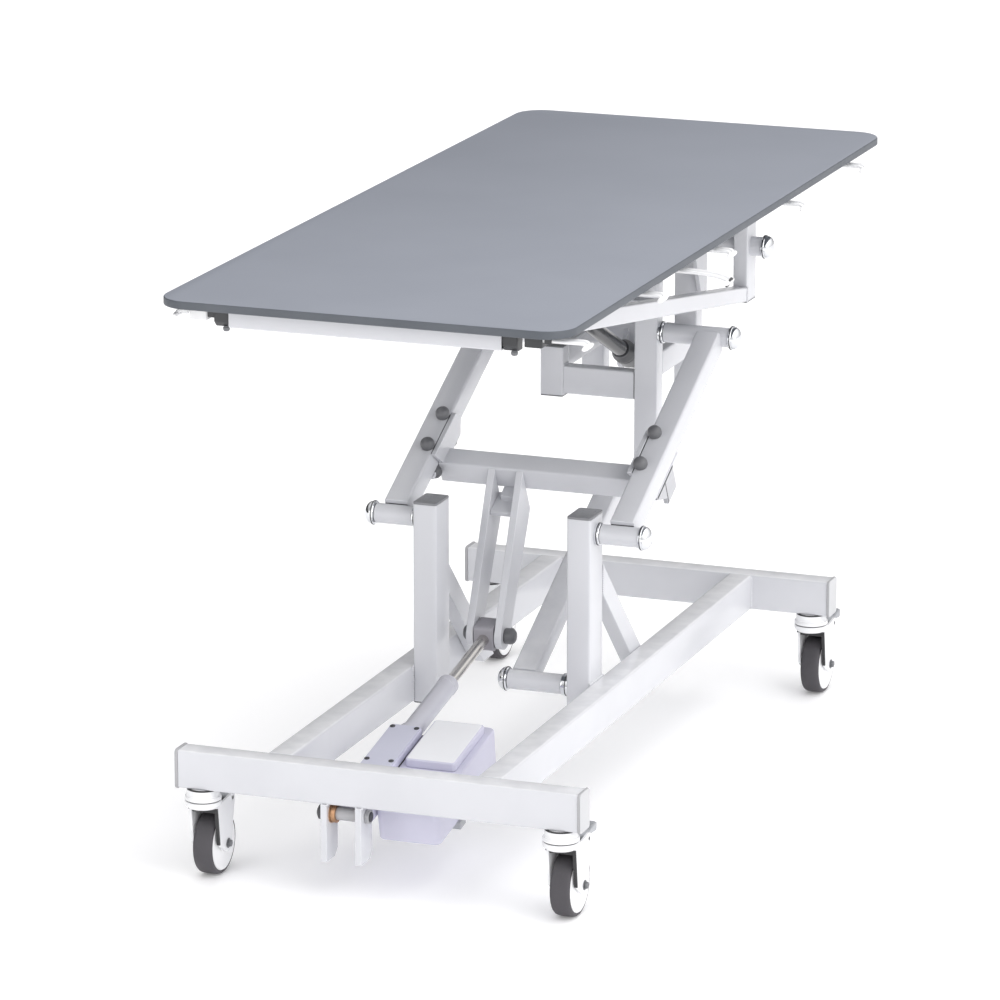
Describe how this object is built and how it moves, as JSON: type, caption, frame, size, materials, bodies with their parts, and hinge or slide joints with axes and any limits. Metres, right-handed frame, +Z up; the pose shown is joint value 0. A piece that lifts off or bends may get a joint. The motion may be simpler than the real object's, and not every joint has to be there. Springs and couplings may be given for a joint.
{
  "type": "veterinary exam table",
  "caption": "Electric veterinary exam table: grey board on a tilting frame, carried by parallel lifting arms on a white tube base with braked swivel castors.",
  "frame": {"origin": "on the floor under the middle of the overall box; the table's own middle plane is X = -34.8 mm, because one long hook stands out on the right only", "axes": "+X across the table, +Y along it from the actuator end to the tilt-hinge end, +Z up"},
  "size_m": [0.7196, 1.6, 0.926],
  "materials": {
    "white_powder_coat": "smooth semi-gloss white powder coat",
    "chrome_pin": "polished chrome plate",
    "grey_plug": "moulded dark grey plastic",
    "bright_steel": "turned bright steel",
    "black_plastic": "moulded black plastic",
    "grey_laminate": "fine-textured grey compact laminate",
    "lilac_plastic": "moulded pale lilac-grey plastic",
    "charcoal_plastic": "satin charcoal housing",
    "castor_metal": "white-coated pressed steel",
    "tyre_rubber": "dark grey non-marking rubber on a white plastic hub",
    "pedal_plastic": "moulded grey plastic"
  },
  "bodies": {
    "base": {"base_front_beam": "white_powder_coat", "base_rear_beam": "white_powder_coat", "base_rail_left": "white_powder_coat", "base_rail_right": "white_powder_coat", "base_post_left": "white_powder_coat", "base_post_right": "white_powder_coat", "base_strut_left": "white_powder_coat", "base_strut_right": "white_powder_coat", "post_plug_left": "grey_plug", "post_plug_right": "grey_plug", "arm_pin_left": "chrome_pin", "arm_pin_right": "chrome_pin", "link_pin_lower": "chrome_pin", "lift_tail_bolt": "bright_steel"},
    "lift_arms": {"lift_arm_left": "white_powder_coat", "lift_arm_right": "white_powder_coat", "arm_cross_beam": "white_powder_coat", "lift_lever": "white_powder_coat", "lift_lever_pin": "black_plastic"},
    "parallel_link": {"parallel_link": "white_powder_coat"},
    "carriage": {"carriage_front_post_left": "white_powder_coat", "carriage_front_post_right": "white_powder_coat", "carriage_rear_post_left": "white_powder_coat", "carriage_rear_post_right": "white_powder_coat", "carriage_side_bar_left": "white_powder_coat", "carriage_side_bar_right": "white_powder_coat", "carriage_pin_left": "chrome_pin", "carriage_pin_right": "chrome_pin", "link_pin_upper": "chrome_pin", "carriage_front_tie": "white_powder_coat", "carriage_rear_tie": "white_powder_coat", "tilt_pin_left": "chrome_pin", "tilt_pin_right": "chrome_pin"},
    "table": {"table_side_frame_left": "white_powder_coat", "table_side_frame_right": "white_powder_coat", "table_front_tube": "white_powder_coat", "table_rear_tube": "white_powder_coat", "table_middle_tube": "white_powder_coat", "stop_block_left": "black_plastic", "stop_block_right": "black_plastic", "table_top": "grey_laminate"},
    "lift_actuator": {"lift_gearbox": "lilac_plastic", "lift_ram_tube": "lilac_plastic", "control_box": "lilac_plastic", "control_lid": "lilac_plastic"},
    "lift_ram": {"lift_ram": "bright_steel"},
    "tilt_actuator": {"tilt_actuator_body": "charcoal_plastic"},
    "tilt_rod": {"tilt_actuator_rod": "bright_steel"},
    "castor_front_left": {"castor_fork_front_left": "castor_metal"},
    "wheel_front_left": {"castor_wheel_front_left": "tyre_rubber"},
    "pedal_front_left": {"castor_pedal_front_left": "pedal_plastic"},
    "castor_front_right": {"castor_fork_front_right": "castor_metal"},
    "wheel_front_right": {"castor_wheel_front_right": "tyre_rubber"},
    "pedal_front_right": {"castor_pedal_front_right": "pedal_plastic"},
    "castor_rear_left": {"castor_fork_rear_left": "castor_metal"},
    "wheel_rear_left": {"castor_wheel_rear_left": "tyre_rubber"},
    "pedal_rear_left": {"castor_pedal_rear_left": "pedal_plastic"},
    "castor_rear_right": {"castor_fork_rear_right": "castor_metal"},
    "wheel_rear_right": {"castor_wheel_rear_right": "tyre_rubber"},
    "pedal_rear_right": {"castor_pedal_rear_right": "pedal_plastic"}
  },
  "joints": [
    {"name": "lift", "type": "hinge", "parent": "base", "child": "lift_arms", "pos_m": [-0.0348, -0.165, 0.45], "axis": [1, 0, 0], "range_deg": [-24, 6]},
    {"name": "link_swing", "type": "hinge", "parent": "base", "child": "parallel_link", "pos_m": [-0.0348, -0.165, 0.197], "axis": [1, 0, 0], "range_deg": [-24.5, 6.5]},
    {"name": "carriage_level", "type": "hinge", "parent": "lift_arms", "child": "carriage", "pos_m": [-0.0348, 0.28001, 0.67498], "axis": [1, 0, 0], "range_deg": [-6.5, 24.5]},
    {"name": "lift_actuator_swing", "type": "hinge", "parent": "base", "child": "lift_actuator", "pos_m": [-0.0898, -0.72, 0.132], "axis": [1, 0, 0], "range_deg": [-0.3, 0.8]},
    {"name": "lift_ram_stroke", "type": "slide", "parent": "lift_actuator", "child": "lift_ram", "axis": [0, 0.9821, 0.1881], "range_m": [-0.088, 0.023]},
    {"name": "tilt", "type": "hinge", "parent": "carriage", "child": "table", "pos_m": [-0.0348, 0.45201, 0.79199], "axis": [-1, 0, 0], "range_deg": [0, 18]},
    {"name": "tilt_actuator_swing", "type": "hinge", "parent": "carriage", "child": "tilt_actuator", "pos_m": [-0.0348, 0.44801, 0.58298], "axis": [-1, 0, 0], "range_deg": [0, 14.2]},
    {"name": "tilt_rod_stroke", "type": "slide", "parent": "tilt_actuator", "child": "tilt_rod", "axis": [0, -0.9017, 0.4323], "range_m": [0, 0.058]},
    {"name": "swivel_front_left", "type": "hinge", "parent": "base", "child": "castor_front_left", "pos_m": [-0.3248, -0.72, 0.15], "axis": [0, 0, 1], "continuous": true},
    {"name": "roll_front_left", "type": "hinge", "parent": "castor_front_left", "child": "wheel_front_left", "pos_m": [-0.3248, -0.68, 0.05], "axis": [1, 0, 0], "continuous": true},
    {"name": "brake_front_left", "type": "hinge", "parent": "castor_front_left", "child": "pedal_front_left", "pos_m": [-0.3248, -0.66, 0.117], "axis": [-1, 0, 0], "range_deg": [0, 12]},
    {"name": "swivel_front_right", "type": "hinge", "parent": "base", "child": "castor_front_right", "pos_m": [0.2552, -0.72, 0.15], "axis": [0, 0, 1], "continuous": true},
    {"name": "roll_front_right", "type": "hinge", "parent": "castor_front_right", "child": "wheel_front_right", "pos_m": [0.2552, -0.68, 0.05], "axis": [1, 0, 0], "continuous": true},
    {"name": "brake_front_right", "type": "hinge", "parent": "castor_front_right", "child": "pedal_front_right", "pos_m": [0.2552, -0.66, 0.117], "axis": [-1, 0, 0], "range_deg": [0, 12]},
    {"name": "swivel_rear_left", "type": "hinge", "parent": "base", "child": "castor_rear_left", "pos_m": [-0.3248, 0.531, 0.15], "axis": [0, 0, 1], "continuous": true},
    {"name": "roll_rear_left", "type": "hinge", "parent": "castor_rear_left", "child": "wheel_rear_left", "pos_m": [-0.3248, 0.571, 0.05], "axis": [1, 0, 0], "continuous": true},
    {"name": "brake_rear_left", "type": "hinge", "parent": "castor_rear_left", "child": "pedal_rear_left", "pos_m": [-0.3248, 0.591, 0.117], "axis": [-1, 0, 0], "range_deg": [0, 12]},
    {"name": "swivel_rear_right", "type": "hinge", "parent": "base", "child": "castor_rear_right", "pos_m": [0.2552, 0.531, 0.15], "axis": [0, 0, 1], "continuous": true},
    {"name": "roll_rear_right", "type": "hinge", "parent": "castor_rear_right", "child": "wheel_rear_right", "pos_m": [0.2552, 0.571, 0.05], "axis": [1, 0, 0], "continuous": true},
    {"name": "brake_rear_right", "type": "hinge", "parent": "castor_rear_right", "child": "pedal_rear_right", "pos_m": [0.2552, 0.591, 0.117], "axis": [-1, 0, 0], "range_deg": [0, 12]}
  ],
  "couplings": [
    {"joint": "link_swing", "follows": "lift", "ratio": 1},
    {"joint": "carriage_level", "follows": "lift", "ratio": -1},
    {"joint": "lift_actuator_swing", "follows": "lift", "ratio": -0.0239},
    {"joint": "lift_ram_stroke", "follows": "lift", "m_per_rad": 0.20633},
    {"joint": "tilt_actuator_swing", "follows": "tilt", "ratio": 0.76923},
    {"joint": "tilt_rod_stroke", "follows": "tilt", "m_per_rad": 0.17972}
  ]
}
